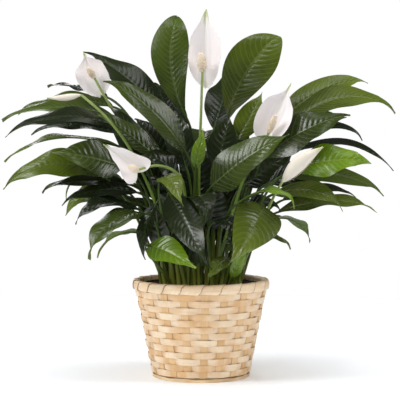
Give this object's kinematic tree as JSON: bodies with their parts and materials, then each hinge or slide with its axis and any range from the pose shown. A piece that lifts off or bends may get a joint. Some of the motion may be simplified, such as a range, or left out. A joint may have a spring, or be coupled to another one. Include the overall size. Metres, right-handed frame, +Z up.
{
  "type": "potted peace lily",
  "caption": "Flowering foliage plant with arching pointed leaves and white hooded flowers, standing in a tapered woven strip basket with a flat base.",
  "frame": {"origin": "centre of the flat underside of the basket's floor, on the standing surface and on the basket's axis", "axes": "+Z up along the basket's axis, -Y towards the front of the plant, +X to the plant's right as seen from the front"},
  "size_m": [0.6209, 0.4254, 0.5625],
  "materials": {
    "bamboo": "satin",
    "bamboo_pale": "satin",
    "bamboo_dark": "satin",
    "pot_plastic": "satin",
    "soil": "matte",
    "leaf_dark": "satin",
    "leaf_green": "satin",
    "leaf_olive": "satin",
    "leaf_fresh": "satin",
    "stalk": "satin",
    "spathe": "satin",
    "bud": "satin",
    "spadix": "matte"
  },
  "bodies": {
    "root": {"basket_wall": "bamboo", "basket_rim": "bamboo_pale", "basket_foot": "bamboo_dark", "basket_floor": "bamboo_dark", "nursery_pot": "pot_plastic", "soil": "soil", "leaf_top_left": "leaf_green", "leaf_top_right": "leaf_olive", "leaf_top_back_left": "leaf_dark", "leaf_high_left": "leaf_green", "leaf_spotted": "leaf_olive", "leaf_left_a": "leaf_dark", "leaf_left_b": "leaf_green", "leaf_left_c": "leaf_green", "leaf_left_d": "leaf_dark", "leaf_left_e": "leaf_olive", "leaf_left_f": "leaf_green", "leaf_left_g": "leaf_green", "leaf_left_h": "leaf_olive", "leaf_left_i": "leaf_olive", "leaf_left_j": "leaf_dark", "leaf_left_k": "leaf_green", "leaf_front_low_left": "leaf_fresh", "leaf_front_dark": "leaf_dark", "leaf_front_curled": "leaf_olive", "leaf_front_right": "leaf_green", "leaf_front_fresh": "leaf_fresh", "leaf_front_round": "leaf_olive", "leaf_right_a": "leaf_olive", "leaf_right_b": "leaf_olive", "leaf_right_c": "leaf_green", "leaf_right_d": "leaf_dark", "leaf_right_e": "leaf_fresh", "leaf_right_f": "leaf_green", "leaf_right_g": "leaf_olive", "leaf_right_h": "leaf_olive", "leaf_back_a": "leaf_green", "leaf_back_b": "leaf_green", "leaf_back_c": "leaf_dark", "leaf_back_d": "leaf_olive", "leaf_back_e": "leaf_green", "leaf_back_f": "leaf_green", "leaf_back_g": "leaf_dark", "leaf_back_h": "leaf_dark", "stalk_top": "stalk", "spathe_top": "spathe", "spadix_top": "spadix", "stalk_upper_left": "stalk", "spathe_upper_left": "spathe", "spadix_upper_left": "spadix", "stalk_lower_left": "stalk", "spathe_lower_left": "spathe", "spadix_lower_left": "spadix", "stalk_right": "stalk", "spathe_right": "spathe", "spadix_right": "spadix", "stalk_right_bud": "stalk", "bud_right_bud": "bud", "stalk_left_bud": "stalk", "bud_left_bud": "bud"}
  },
  "joints": []
}
